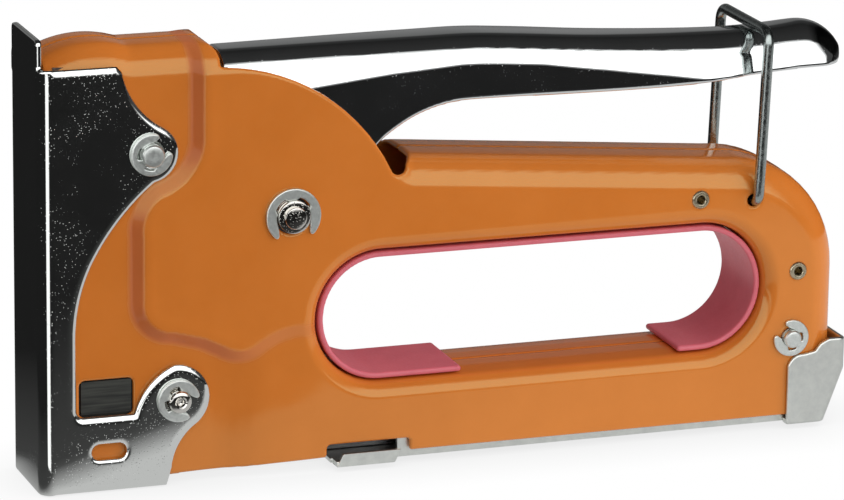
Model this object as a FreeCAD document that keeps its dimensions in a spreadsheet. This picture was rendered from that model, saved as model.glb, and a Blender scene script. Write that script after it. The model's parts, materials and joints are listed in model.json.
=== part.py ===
"""Staple gun: a hand tacker with pressed steel shells, a chromed lever and a sliding magazine.

Frame: +X runs from the nose to the back of the magazine, +Z up from the nose's foot, and the left
side is -Y. Sizes are in millimetres. Outlines are drawn with X counted from the front of the nose,
and every finished piece is then moved back by half the gun's length, so that the origin is under
the middle of the gun.
"""
import FreeCAD, Part
import os
from math import atan2, cos, degrees, hypot, radians, sin

Vector = FreeCAD.Vector
Rotation = FreeCAD.Rotation

DIMENSIONS = {
    # nose cover
    "cover_half": 12.2, "cover_sheet": 1.2, "cover_front": 1.4, "cover_top": 94.0,
    "tab_half": 10.1, "tab_top": 100.4, "slot_x": 15.4, "slot_z": 8.9,
    "ear_radius": 6.4, "foot_ear_radius": 7.6, "cheek_back": 7.3,
    # shells
    "shell_half": 12.2, "nose_half": 10.9, "ring_half": 10.5, "sheet_gauge": 1.2,
    "roof_z": 97.2, "roof_end": 40.4, "body_rear": 186.0, "body_bottom": 3.0,
    "corner_x": 159.5, "corner_z": 36.5, "corner_radius": 26.5, "ring_margin": 4.3,
    # hand hole and its liner
    "hole_front": 77.6, "hole_rear": 153.0, "hole_z": 33.75, "hole_radius": 13.15,
    "liner_sheet": 1.3, "liner_half": 9.8, "liner_gap_front": 96.5, "liner_gap_rear": 148.0,
    # pins and rivets
    "pivot_x": 56.5, "pivot_z": 58.5, "pivot_radius": 4.0, "bush_radius": 5.5,
    "upper_x": 24.8, "upper_z": 74.4, "lower_x": 30.8, "lower_z": 19.2, "nose_pin_radius": 2.5,
    "rear_x": 174.3, "rear_z": 21.2, "rear_pin_radius": 2.0,
    "top_rivet_x": 151.6, "top_rivet_z": 54.9, "back_rivet_x": 175.7, "back_rivet_z": 36.6,
    "rivet_radius": 1.5, "rivet_bore": 1.0, "rivet_head": 2.1, "spacer_radius": 3.1,
    "pin_end": 14.4, "clip_gauge": 0.8, "running_gap": 0.05,
    # lever and lifter
    "lever_half": 9.0, "lever_sheet": 1.4, "lever_end": 188.6, "lifter_half": 2.5,
    "lift_reach": 36.0, "tip_radius": 3.0, "press_angle": 8.0,
    # wire bail
    "bail_x": 164.8, "bail_z": 53.8, "bar_x": 166.2, "bar_z": 92.35, "bail_half": 13.75,
    "wire_radius": 1.2, "bail_bend": 3.0,
    # driver, spring and bumper
    "blade_front": 1.6, "blade_gauge": 1.3, "blade_half": 6.0, "blade_foot": 12.4,
    "block_rear": 21.9, "block_half": 8.5, "block_foot": 37.5, "block_top": 66.5,
    "spring_x": 12.5, "spring_radius": 6.3, "spring_wire": 2.2, "seat_z": 91.5,
    "bumper_foot": 15.9, "bumper_top": 26.0,
    # magazine
    "tray_front": 66.0, "tray_half": 10.6, "tray_foot": 1.2, "tray_sheet": 1.0, "tray_top": 12.0,
    "rail_half": 4.3, "rail_foot": 2.4, "rail_top": 13.2, "rail_sheet": 1.0, "rod_z": 8.0,
    "rod_radius": 1.5, "tab_front": 66.6, "tab_rear": 81.5, "tab_reach": 13.6, "tab_rise": 3.9,
    "cap_face": 186.2, "cap_rear": 187.6, "cap_half": 13.4, "cap_top": 20.4,
}

doc = FreeCAD.newDocument("staple_gun")
sheet = doc.addObject("Spreadsheet::Sheet", "sheet")
for row, (alias, size) in enumerate(DIMENSIONS.items(), start=1):
    sheet.set(f"A{row}", alias)
    sheet.set(f"B{row}", str(size))
    sheet.setAlias(f"B{row}", alias)
doc.recompute()

pieces = []
d = type("Dimensions", (), DIMENSIONS)


def bind(item, **expressions):
    """Tie properties of an object to the sheet; an expression names cells without a prefix."""
    for prop, expression in expressions.items():
        words = [f"sheet.{word}" if word in DIMENSIONS else word for word in str(expression).split()]
        item.setExpression(prop.replace("__", "."), " ".join(words))
    return item


def place(item, x=0, y=0, z=0, turn=None):
    if turn:
        item.Placement.Rotation = turn
    return bind(item, Placement__Base__x=x, Placement__Base__y=y, Placement__Base__z=z)


def box(name, x, y, z):
    """A box between two expressions along each axis."""
    item = doc.addObject("Part::Box", name)
    bind(item, Length=f"{x[1]} - ( {x[0]} )", Width=f"{y[1]} - ( {y[0]} )", Height=f"{z[1]} - ( {z[0]} )")
    return place(item, x[0], y[0], z[0])


def middle_box(name, x, half, z):
    return box(name, x, (f"- ( {half} )", half), z)


def rod_y(name, x, z, radius, low, high):
    """A round bar along Y."""
    item = doc.addObject("Part::Cylinder", name)
    bind(item, Radius=radius, Height=f"{high} - ( {low} )")
    return place(item, x, low, z, Rotation(Vector(1, 0, 0), -90))


def through(name, x, z, radius, half):
    return rod_y(name, x, z, radius, f"- ( {half} )", half)


def rod_x(name, x, y, z, radius):
    """A round bar along X, between two expressions."""
    item = doc.addObject("Part::Cylinder", name)
    bind(item, Radius=radius, Height=f"{x[1]} - ( {x[0]} )")
    return place(item, x[0], y, z, Rotation(Vector(0, 1, 0), 90))


def post(name, x, radius, z):
    item = doc.addObject("Part::Cylinder", name)
    bind(item, Radius=radius, Height=f"{z[1]} - ( {z[0]} )")
    return place(item, x, 0, z[0])


def outline(name, points):
    """A closed sketch in the XZ plane. A point with a third entry is the middle of an arc."""
    sketch = doc.addObject("Sketcher::SketchObject", name)
    sketch.Placement = FreeCAD.Placement(Vector(0, 0, 0), Rotation(Vector(1, 0, 0), 90))
    count = len(points)
    index = 0
    while index < count:
        here, ahead, beyond = points[index], points[(index + 1) % count], points[(index + 2) % count]
        if len(ahead) == 3:
            sketch.addGeometry(Part.Arc(flat(here), flat(ahead), flat(beyond)), False)
            index += 2
        else:
            sketch.addGeometry(Part.LineSegment(flat(here), flat(ahead)), False)
            index += 1
    return sketch


def flat(point):
    return Vector(point[0], point[1], 0)


def slab(name, points, low, high, side=0):
    """An outline made solid across Y, from low to high on one side, or to high on both."""
    item = doc.addObject("Part::Extrusion", name)
    item.Base = outline(name + "_outline", points) if isinstance(points, list) else points
    item.DirMode = "Custom"
    item.Dir = Vector(0, -1, 0)
    item.Solid = True
    towards_left, towards_right = (high, high) if side == 0 else (high, f"- ( {low} )")
    if side > 0:
        towards_left, towards_right = towards_right, towards_left
    return bind(item, LengthFwd=towards_left, LengthRev=towards_right)


def grown(name, sketch, margin):
    """The outline of a sketch, moved out (or in, when negative) by a margin."""
    item = doc.addObject("Part::Offset2D", name)
    item.Source = sketch
    item.Join = 0
    return bind(item, Value=margin)


def fuse(name, *shapes):
    item = doc.addObject("Part::MultiFuse", name)
    item.Shapes = list(shapes)
    return item


def cut(name, base, *tools):
    item = doc.addObject("Part::Cut", name)
    item.Base = base
    item.Tool = tools[0] if len(tools) == 1 else fuse(name + "_tools", *tools)
    return item


def group(name, *shapes):
    item = doc.addObject("Part::Compound", name)
    item.Links = list(shapes)
    return item


def piece(item, label):
    """Finish a sub-part: name its file and move it from the nose to the gun's own frame."""
    if item.ExpressionEngine:
        item = group(item.Name + "_placed", item)
    item.Label = label
    bind(item, Placement__Base__x="- lever_end / 2")
    pieces.append(item)
    return item


def coil(name, radius, wire, pitch, height):
    """A spring round Z, standing on the origin's plane."""
    helix = doc.addObject("Part::Helix", name + "_line")
    bind(helix, Radius=radius, Pitch=pitch, Height=height)
    helix.SegmentLength = 1  # one face for each turn
    section = doc.addObject("Part::Circle", name + "_wire")
    section.Placement.Rotation = Rotation(Vector(1, 0, 0), 90)
    bind(section, Radius=f"{wire} / 2", Placement__Base__x=radius)
    spring = doc.addObject("Part::Sweep", name)
    spring.Sections = [section]
    spring.Spine = (helix, [])
    spring.Solid = True
    spring.Frenet = True
    return spring


def stadium(front, rear, middle, radius):
    """A slot with round ends, drawn anticlockwise."""
    return [(front, middle + radius), (front - radius, middle, "arc"), (front, middle - radius),
            (rear, middle - radius), (rear + radius, middle, "arc"), (rear, middle + radius)]


# ------------------------------------------------------------------------------- outlines
ROOF_FRONT = (2.2, 95.6)
ARC_TOP = (40.4, 92.2)
ARC_MIDDLE = (64.2, 84.2)
ARC_FOOT = (79.0, 67.0)
NOTCH_FOOT = (80.8, 65.6)
GRIP_FRONT = (82.8, 67.4)

SHELL = [
    (2.2, 1.2), ROOF_FRONT, (12.5, 98.4, "arc"), (21.5, d.roof_z), (38.4, d.roof_z),
    (d.roof_end, 95.2), ARC_TOP, ARC_MIDDLE + ("arc",), ARC_FOOT, NOTCH_FOOT + ("arc",), GRIP_FRONT,
    (85.0, 69.3), (d.corner_x, d.corner_z + d.corner_radius),
    (d.corner_x + d.corner_radius * sin(radians(45)),
     d.corner_z + d.corner_radius * cos(radians(45)), "arc"),
    (d.body_rear, d.corner_z), (d.body_rear, d.body_bottom), (64.0, d.body_bottom),
]

# the part of the side that lies lower, under the nose cover
NOSE_RECESS = [(-5, -5), (-5, 110), (35.2, 110), (35.2, 76.0), (32.0, 69.4, "arc"), (26.5, 66.2),
               (22.6, 61.8, "arc"), (21.7, 56.0), (21.7, 42.0), (23.6, 36.0, "arc"), (30.0, 33.0),
               (46.0, 28.5), (46.0, -5)]

CHEEK = [
    (0, 0), (0, d.cover_top), (17.4, d.cover_top), (18.7, 92.6), (21.4, 86.0, "arc"), (27.8, 80.0),
    (d.upper_x + d.ear_radius, d.upper_z, "arc"), (25.8, 67.8), (18.6, 60.8, "arc"), (12.0, 51.0),
    (8.7, 43.6, "arc"), (d.cheek_back, 35.0), (d.cheek_back, 18.2), (8.5, 16.9), (21.2, 16.9),
    (24.2, 22.8, "arc"), (30.2, 27.2),
    (d.lower_x + d.foot_ear_radius - 0.2, d.lower_z + 0.6, "arc"), (35.6, 13.6),
    (31.2, 9.0, "arc"), (29.6, 4.0), (28.4, 0),
]

LEVER_TOP = [(45.0, 94.2), (96.0, 94.4), (112.0, 93.4), (140.0, 91.5), (160.0, 90.8), (168.0, 90.9),
             (178.0, 91.4)]
LEVER_FOOT = [(165.0, 81.4), (140.0, 80.1), (104.0, 80.6), (92.0, 80.0), (84.4, 77.2, "arc"), (77.4, 72.6)]
LEVER = [(41.4, 90.0), (42.4, 93.1, "arc")] + LEVER_TOP + [
    (185.2, 88.6, "arc"), (d.lever_end, 84.4), (187.6, 81.0, "arc"), (184.6, 79.9), (176.0, 82.2)
] + LEVER_FOOT + [(68.0, 58.5), (56.5, 47.5, "arc"), (45.5, 58.5)]
LEVER_HOLLOW = [(43.0, 40.0), (43.0, 92.0), (45.0, 92.8), (96.0, 93.0), (112.0, 92.0), (140.0, 90.1),
                (160.0, 89.4), (168.0, 89.5), (178.0, 90.0), (183.6, 87.8, "arc"), (187.0, 84.2),
                (187.0, 40.0)]

rest_angle = radians(d.press_angle / 2)
TIP_X = d.pivot_x - d.lift_reach * cos(rest_angle)
TIP_Z = d.pivot_z - d.lift_reach * sin(rest_angle)
LIFTER = [(TIP_X, TIP_Z + d.tip_radius), (27.0, 58.4), (45.0, 66.0), (49.0, 75.0), (52.5, 77.5, "arc"),
          (56.0, 77.8), (62.0, 77.2), (67.4, 72.0, "arc"), (68.0, 66.0), (66.5, 58.5),
          (56.5, 49.0, "arc"), (48.5, 53.0), (27.0, 53.6), (TIP_X, TIP_Z - d.tip_radius),
          (TIP_X - d.tip_radius, TIP_Z, "arc")]
LEVER_RIVETS = ((52.0, 72.4), (62.5, 71.0))


# ----------------------------------------------------------------------------- the shells
def shell(side, label):
    """One pressed half: a side plate, a rim along its edge and a rim round the hand hole."""
    def name(word):
        return f"{label}_{word}"

    def across(low, high):
        return (low, high) if side > 0 else (f"- ( {high} )", f"- ( {low} )")

    body = outline(name("body"), SHELL)
    hole = outline(name("hole"), stadium(d.hole_front, d.hole_rear, d.hole_z, d.hole_radius))
    nose = outline(name("nose"), NOSE_RECESS)
    solid = cut(
        name("solid"), slab(name("block"), body, "0", "shell_half", side),
        slab(name("nose_step"), nose, "nose_half", "shell_half + 1", side),
        slab(name("ring_step"), grown(name("ring"), hole, "liner_sheet + ring_margin"),
             "ring_half", "shell_half + 1", side),
        slab(name("hole_cut"), grown(name("hole_edge"), hole, "liner_sheet + 0.15"),
             "- 1", "shell_half + 1", side))
    cavity = cut(
        name("cavity"),
        slab(name("inside"), grown(name("inner"), body, "- sheet_gauge"),
             "- 1", "shell_half - sheet_gauge", side),
        slab(name("nose_back"), grown(name("nose_inner"), nose, "sheet_gauge"),
             "nose_half - sheet_gauge", "shell_half", side),
        slab(name("ring_back"), grown(name("ring_inner"), hole, "liner_sheet + ring_margin + sheet_gauge"),
             "ring_half - sheet_gauge", "shell_half", side),
        slab(name("hole_wall"), grown(name("hole_rim"), hole, "liner_sheet + 0.15 + sheet_gauge"),
             "- 2", "shell_half", side))
    lever_way = slab(name("lever_way"), [(41.0, 80.0), (41.0, 100.0), (76.0, 100.0), (82.7, 80.0),
                                         (82.7, 60.0), (60.0, 60.0)], "- 1", "lever_half + 0.6", side)
    roof_way = box(name("roof_way"), ("roof_end - 1.3", "roof_end + 1"), across("- 1", "lever_half + 0.6"),
                   ("80", "95.9"))
    nose_way = box(name("nose_way"), ("0", "5"), across("- 1", "nose_half - sheet_gauge"),
                   ("0", "roof_z - 3"))
    foot_way = box(name("foot_way"), ("0", "body_rear + 1"), across("- 1", "nose_half - sheet_gauge"),
                   ("0", "body_bottom + 2"))
    tray_way = box(name("tray_way"), ("tray_front - 3", "body_rear + 1"),
                   across("- 1", "shell_half - sheet_gauge"), ("0", "tray_top + 1.2"))
    rail_way = box(name("rail_way"), ("tray_front - 3", "body_rear + 1"), across("- 1", "ring_half - 1.5"),
                   ("0", "bumper_foot"))
    tab_notch = box(name("tab_notch"), ("tab_front - 1.8", "tab_rear + 2.4"),
                    across("shell_half - sheet_gauge - 0.2", "shell_half + 1"), ("0", "5.8"))
    window = box(name("window"), ("9.2", "21.0"), across("0", "shell_half"), ("16.9", "24.8"))
    holes = [through(name(word), x, z, radius, "shell_half + 2") for word, x, z, radius in (
        ("pivot_hole", "pivot_x", "pivot_z", "pivot_radius"),
        ("upper_hole", "upper_x", "upper_z", "nose_pin_radius"),
        ("lower_hole", "lower_x", "lower_z", "nose_pin_radius"),
        ("rear_hole", "rear_x", "rear_z", "rear_pin_radius"),
        ("top_rivet_hole", "top_rivet_x", "top_rivet_z", "rivet_radius"),
        ("back_rivet_hole", "back_rivet_x", "back_rivet_z", "rivet_radius"),
        ("bail_hole", "bail_x", "bail_z", "wire_radius + 2 * running_gap"))]
    return piece(cut(name("pressing"), solid, cavity, lever_way, roof_way, nose_way, foot_way, tray_way,
                     rail_way, tab_notch, window, tail(label), *holes), label)


def nose_cover():
    """The chromed U-shaped plate over the nose, with two ears on each side and a tab on top."""
    plate = middle_box("cover_plate", ("0", "cover_front"), "cover_half", ("0", "cover_top"))
    tab = middle_box("cover_tab", ("0", "cover_front"), "tab_half", ("cover_top - 1", "tab_top"))
    cheeks = [slab(f"cheek_{word}", CHEEK, "cover_half - cover_sheet", "cover_half", side)
              for word, side in (("left", -1), ("right", 1))]
    slot = slab("cheek_slot", stadium(d.slot_x - 2.6, d.slot_x + 2.6, d.slot_z, 1.7), "0", "cover_half + 1")
    pins = [through(f"cover_{word}", f"{word}_x", f"{word}_z", "nose_pin_radius", "cover_half + 1")
            for word in ("upper", "lower")]
    piece(cut("cover", fuse("cover_sheet_metal", plate, tab, *cheeks), slot, *pins), "nose_cover")


def grip_liner():
    """The plastic strip inside the hand hole, open along the middle of its lower run."""
    hole = outline("liner_line", stadium(d.hole_front, d.hole_rear, d.hole_z, d.hole_radius))
    outer = slab("liner_outer", grown("liner_outside", hole, "liner_sheet"), "0", "liner_half")
    inner = slab("liner_inner", hole, "0", "liner_half + 1")
    gap = middle_box("liner_gap", ("liner_gap_front", "liner_gap_rear"), "liner_half + 1",
                     ("hole_z - hole_radius - 3", "hole_z"))
    piece(cut("liner", outer, inner, gap), "grip_liner")


# ------------------------------------------------------------------------ pins and rivets
def headed_pin(label, word, radius, seat):
    """A pin with a head on the right and a groove for its clip on the left."""
    shank = rod_y(f"{label}_shank", f"{word}_x", f"{word}_z", radius, "- pin_end", f"{seat} + 0.1")
    head = rod_y(f"{label}_head", f"{word}_x", f"{word}_z", f"{radius} + 1.6",
                 f"{seat} + 0.05", f"{seat} + 1.7")
    groove = rod_y(f"{label}_groove", f"{word}_x", f"{word}_z", f"{radius} + 1",
                   f"- {seat} - 0.1 - clip_gauge", f"- {seat} - 0.1")
    core = rod_y(f"{label}_core", f"{word}_x", f"{word}_z", f"{radius} - 0.5",
                 f"- {seat} - 0.2 - clip_gauge", f"- {seat}")
    blank = fuse(f"{label}_blank", shank, head)
    piece(cut(f"{label}_turned", blank, cut(f"{label}_ring", groove, core)), label)


def e_clip(label, word, radius, outer, seat, opening):
    """A flat snap ring in a pin's groove; opening is the direction of its mouth in degrees from +X to +Z."""
    y_span = (f"- {seat} - 0.1 - clip_gauge", f"- {seat} - 0.1")
    ring = rod_y(f"{label}_disc", f"{word}_x", f"{word}_z", outer, *y_span)
    bore = rod_y(f"{label}_bore", f"{word}_x", f"{word}_z", f"{radius} - 0.5",
                 f"- {seat} - 2", f"- {seat} + 1")
    mouth = doc.addObject("Part::Box", f"{label}_mouth")
    bind(mouth, Length=f"{outer} + 1", Width="4", Height=f"2 * ( {radius} - 0.55 )")
    turn = Rotation(Vector(0, 1, 0), -opening)
    offset = turn.multVec(Vector(0, 0, -(getattr(d, radius) - 0.55)))
    place(mouth, f"{word}_x + {offset.x}", f"- {seat} - 2.5", f"{word}_z + {offset.z}", turn)
    piece(cut(f"{label}_ring", ring, bore, mouth), label)


def hollow_rivet(label, word):
    barrel = through(f"{label}_barrel", f"{word}_x", f"{word}_z", "rivet_radius", "shell_half + 0.5")
    heads = [rod_y(f"{label}_head_{side}", f"{word}_x", f"{word}_z", "rivet_head", low, high)
             for side, low, high in (("left", "- shell_half - 0.5", "- shell_half"),
                                     ("right", "shell_half", "shell_half + 0.5"))]
    bore = through(f"{label}_bore", f"{word}_x", f"{word}_z", "rivet_bore", "shell_half + 1")
    piece(cut(f"{label}_tube", fuse(f"{label}_blank", barrel, *heads), bore), label)


def spacer(label, word, half):
    tube = through(f"{label}_tube", f"{word}_x", f"{word}_z", "spacer_radius", half)
    bore = through(f"{label}_bore", f"{word}_x", f"{word}_z", "rivet_radius", "shell_half")
    piece(cut(f"{label}_ring", tube, bore), label)


# --------------------------------------------------------------------- lever and its drive
def lever():
    """A pressed channel, open below, whose front is the hub that turns on the pivot."""
    channel = cut("lever_channel", slab("lever_block", LEVER, "0", "lever_half"),
                  slab("lever_hollow", LEVER_HOLLOW, "0", "lever_half - lever_sheet"))
    bore = through("lever_bore", "pivot_x", "pivot_z", "bush_radius + running_gap", "lever_half + 1")
    rivets = [through(f"lever_rivet_hole_{n}", str(x), str(z), "1.8", "lever_half + 1")
              for n, (x, z) in enumerate(LEVER_RIVETS)]
    piece(cut("lever_pressing", channel, bore, *rivets), "lever")


def lifter_arm():
    """The thick arm inside the lever whose round tip lifts the hammer block."""
    plate = slab("lifter_plate", LIFTER, "0", "lifter_half")
    bore = through("lifter_bore", "pivot_x", "pivot_z", "bush_radius + running_gap", "lever_half")
    rivets = [through(f"lifter_rivet_hole_{n}", str(x), str(z), "1.8", "lever_half")
              for n, (x, z) in enumerate(LEVER_RIVETS)]
    piece(cut("lifter", plate, bore, *rivets), "lifter_arm")


def lever_rivets():
    """Two rivets through the lever and the lifter arm, with collars that keep the arm central."""
    made = []
    for n, (x, z) in enumerate(LEVER_RIVETS):
        shank = through(f"lever_rivet_shank_{n}", str(x), str(z), "1.8", "lever_half + 0.7")
        ends = [rod_y(f"lever_rivet_{word}_{n}", str(x), str(z), radius, low, high)
                for word, radius, low, high in (
            ("head_left", "3", "- lever_half - 0.7", "- lever_half"),
            ("head_right", "3", "lever_half", "lever_half + 0.7"),
            ("collar_left", "2.8", "- ( lever_half - lever_sheet )", "- lifter_half"),
            ("collar_right", "2.8", "lifter_half", "lever_half - lever_sheet"))]
        made.append(fuse(f"lever_rivet_{n}", shank, *ends))
    piece(group("lever_rivet_pair", *made), "lever_rivets")


def pivot_bush():
    tube = through("bush_tube", "pivot_x", "pivot_z", "bush_radius", "shell_half - sheet_gauge")
    bore = through("bush_bore", "pivot_x", "pivot_z", "pivot_radius", "shell_half")
    piece(cut("bush", tube, bore), "pivot_bush")


def return_spring():
    """The coil round the bush that opens the lever, lying between the arm and the lever's left side."""
    spring = coil("return_coil", "7.2", "1.2", "1.7", "3.4")
    place(spring, "pivot_x", "- 6.8", "pivot_z", Rotation(Vector(1, 0, 0), -90))
    piece(spring, "return_spring")


def hammer():
    """The blade that drives the staple, the block that carries it, and the rivets between them."""
    blade = middle_box("blade_plate", ("blade_front", "blade_front + blade_gauge"), "blade_half",
                       ("blade_foot", "block_top - 3"))
    block = middle_box("block_body", ("blade_front + blade_gauge", "block_rear"), "block_half",
                       ("block_foot", "block_top"))
    boss = post("block_boss", "spring_x", "4.6", ("block_top - 1", "block_top + 4"))
    pocket = middle_box("block_pocket", (str(TIP_X - 3.7), "block_rear + 1"), "lifter_half + 0.5",
                        (str(TIP_Z - 3.15), str(TIP_Z + 3.15)))
    places = [(y, z) for z in ("44", "61") for y in ("- 3.5", "3.5")]
    holes = [rod_x(f"driver_hole_{n}", ("0", "8"), y, z, "1.2") for n, (y, z) in enumerate(places)]
    rivets = [rod_x(f"driver_rivet_{n}", ("blade_front", "8"), y, z, "1.2")
              for n, (y, z) in enumerate(places)]
    piece(cut("blade", blade, *holes), "driver_blade")
    piece(cut("block", fuse("block_blank", block, boss), pocket, *holes), "hammer_block")
    piece(group("driver_rivet_set", *rivets), "driver_rivets")


def main_spring():
    spring = coil("main_coil", "spring_radius", "spring_wire",
                  "( seat_z - block_top - spring_wire ) / 5", "seat_z - block_top - spring_wire")
    place(spring, "spring_x", "0", "block_top + spring_wire / 2")
    piece(spring, "main_spring")


def spring_top_seat():
    plate = middle_box("seat_plate", ("4", "22"), "9.4", ("seat_z", "cover_top"))
    boss = post("seat_boss", "spring_x", "4.6", ("seat_z - 4", "seat_z + 1"))
    piece(fuse("seat", plate, boss), "spring_top_seat")


def bumper():
    """The rubber block that stops the hammer, with a lug in each shell's window."""
    body = middle_box("bumper_body", ("4", "23"), "9.5", ("bumper_foot", "bumper_top"))
    lugs = middle_box("bumper_lugs", ("9.5", "20.7"), "10.4", ("17.2", "24.5"))
    piece(fuse("bumper_block", body, lugs), "bumper")


def nose_insert():
    """The two strips that guide the staple's legs, joined by a bridge over the rail."""
    strips = [box(f"insert_{word}", ("3.2", "28"), span, ("0.4", "bumper_foot - 0.3"))
              for word, span in (("left", ("- 9.4", "- 5.9")), ("right", ("5.9", "9.4")))]
    bridge = middle_box("insert_bridge", ("26", "40"), "6", ("14.6", "bumper_foot - 0.3"))
    piece(fuse("insert", *strips, bridge), "nose_insert")


# ------------------------------------------------------------------------------ wire bail
def wire_bail():
    """One bent wire: a foot in each shell, a leg up each side and a bar over the lever."""
    length = hypot(d.bar_x - d.bail_x, d.bar_z - d.bail_z)
    tilt = atan2(d.bar_x - d.bail_x, d.bar_z - d.bail_z)
    half, bend, foot_in = d.bail_half, d.bail_bend, 9.9
    foot_bend = 2.0
    line = doc.addObject("Sketcher::SketchObject", "bail_line")
    line.Placement = FreeCAD.Placement(Vector(0, 0, 0), Rotation(Vector(0, 0, 1), 90).multiply(
        Rotation(Vector(1, 0, 0), 90)))

    def arc(centre, radius, start):
        points = [Vector(centre[0] + radius * cos(radians(a)), centre[1] + radius * sin(radians(a)), 0)
                  for a in (start, start + 45, start + 90)]
        return Part.Arc(*points)

    inner = half - foot_bend
    corner = half - bend
    parts = [Part.LineSegment(Vector(-foot_in, 0, 0), Vector(-inner, 0, 0)),
             arc((-inner, foot_bend), foot_bend, 180),
             Part.LineSegment(Vector(-half, foot_bend, 0), Vector(-half, length - bend, 0)),
             arc((-corner, length - bend), bend, 90),
             Part.LineSegment(Vector(-corner, length, 0), Vector(corner, length, 0)),
             arc((corner, length - bend), bend, 0),
             Part.LineSegment(Vector(half, length - bend, 0), Vector(half, foot_bend, 0)),
             arc((inner, foot_bend), foot_bend, 270),
             Part.LineSegment(Vector(inner, 0, 0), Vector(foot_in, 0, 0))]
    for part in parts:
        line.addGeometry(part, False)
    section = doc.addObject("Part::Circle", "bail_wire")
    section.Placement = FreeCAD.Placement(Vector(0, -foot_in, 0), Rotation(Vector(1, 0, 0), 90))
    bind(section, Radius="wire_radius")
    bail = doc.addObject("Part::Sweep", "bail")
    bail.Sections = [section]
    bail.Spine = (line, [])
    bail.Solid = True
    bail.Transition = "Right corner"
    place(bail, "bail_x", "0", "bail_z", Rotation(Vector(0, 1, 0), degrees(tilt)))
    piece(bail, "wire_bail")


# ------------------------------------------------------------------------------- magazine
TAIL = [(d.cap_face, 13.6), (181.6, 1.0)]  # inner face of the end cap's sloping foot


def tail(word):
    """What lies behind the end cap's inner face."""
    return slab(f"{word}_tail", [(d.cap_face, 25.0)] + TAIL + [(181.2, -1.0), (200.0, -1.0), (200.0, 25.0)],
                "0", "shell_half + 2")


def magazine_cover():
    """The sliding tray under the body, with a finger tab bent out on each side."""
    outer = middle_box("tray_outer", ("tray_front", "cap_face"), "tray_half", ("tray_foot", "tray_top"))
    inner = middle_box("tray_inner", ("tray_front - 1", "cap_face + 1"), "tray_half - tray_sheet",
                       ("tray_foot + tray_sheet", "tray_top + 1"))
    lip_line = [(d.tab_front, 1.0), (d.tab_front + 1.5, d.tab_rise), (d.tab_rear, d.tab_rise),
                (d.tab_rear - 1.5, 1.0)]
    lips = [slab(f"tab_lip_{word}", lip_line, "tab_reach - tray_sheet", "tab_reach", side)
            for word, side in (("left", -1), ("right", 1))]
    ledge = middle_box("tab_ledge", ("tab_front", "tab_rear - 1.5"), "tab_reach - 0.2", ("1", "2.2"))
    windows = middle_box("tab_windows", ("tab_front - 1", "tab_rear"), "tray_half + 1", ("2.2", "7"))
    channel = fuse("tray_channel", cut("tray_bent", outer, inner, windows), ledge)
    piece(cut("tray", fuse("tray_blank", channel, *lips), tail("tray")), "magazine_cover")


def magazine_end_cap():
    """The plate that closes the back, with an ear along each side of the body."""
    plate = slab("cap_plate", [(d.cap_face, d.cap_top)] + TAIL + [(183.0, 1.0), (d.cap_rear, 13.2),
                                                                  (d.cap_rear, d.cap_top)], "0", "cap_half")
    ear_line = [(173.6, 1.0), (173.6, 15.6), (174.8, 16.5), (177.4, 17.3), (180.2, 17.8), (181.4, 19.4),
                (183.4, d.cap_top), (d.cap_rear, d.cap_top), (d.cap_rear, 13.2), (183.0, 1.0)]
    ears = [slab(f"cap_ear_{word}", ear_line, "cap_half - 1", "cap_half", side)
            for word, side in (("left", -1), ("right", 1))]
    soles = [box(f"cap_sole_{word}", ("173.6", "181.8"), span, ("1", "2"))
             for word, span in (("left", ("- cap_half", "- 10.7")), ("right", ("10.7", "cap_half")))]
    piece(fuse("end_cap", plate, *ears, *soles), "magazine_end_cap")


def staple_rail():
    """The inverted channel that the staples straddle, slotted along its top for the pusher."""
    outer = middle_box("rail_outer", ("6", "cap_face"), "rail_half", ("rail_foot", "rail_top"))
    inner = middle_box("rail_inner", ("8", "cap_face + 1"), "rail_half - rail_sheet",
                       ("rail_foot - 1", "rail_top - rail_sheet"))
    slot = middle_box("rail_slot", ("9", "180"), "1.7", ("rail_top - 2", "rail_top + 1"))
    piece(cut("rail", outer, inner, slot, tail("rail")), "staple_rail")


def guide_rod():
    rod = rod_x("rod_bar", ("8", "cap_face"), "0", "rod_z", "rod_radius")
    piece(cut("rod_trimmed", rod, tail("rod")), "guide_rod")
    nut = rod_x("rod_nut_blank", ("cap_face - 6.4", "cap_face - 3.9"), "0", "rod_z", "3")
    piece(cut("rod_nut_ring", nut, rod_x("rod_nut_bore", ("cap_face - 7", "cap_face + 1"), "0", "rod_z",
                                         "rod_radius")), "rod_nut")


def pusher():
    """The saddle over the rail that pushes the staples forward, with a lug on the guide rod."""
    saddle = cut("saddle", middle_box("saddle_outer", ("9.5", "25"), "5.6", ("3.4", "14.2")),
                 middle_box("saddle_inner", ("9", "26"), "rail_half + 0.25", ("3", "13.45")))
    neck = middle_box("pusher_neck", ("19", "25"), "1.4", ("10", "14"))
    lug = middle_box("pusher_lug", ("19", "25"), "2.8", ("4.6", "11.4"))
    bore = rod_x("pusher_bore", ("8", "26"), "0", "rod_z", "rod_radius + running_gap")
    piece(cut("pusher_body", fuse("pusher_blank", saddle, neck, lug), bore), "pusher")


def follower_spring():
    spring = coil("follower_coil", "2.5", "0.7", "8.1", "153.9")
    place(spring, "25.6", "0", "rod_z", Rotation(Vector(0, 1, 0), 90))
    piece(spring, "follower_spring")


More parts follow.
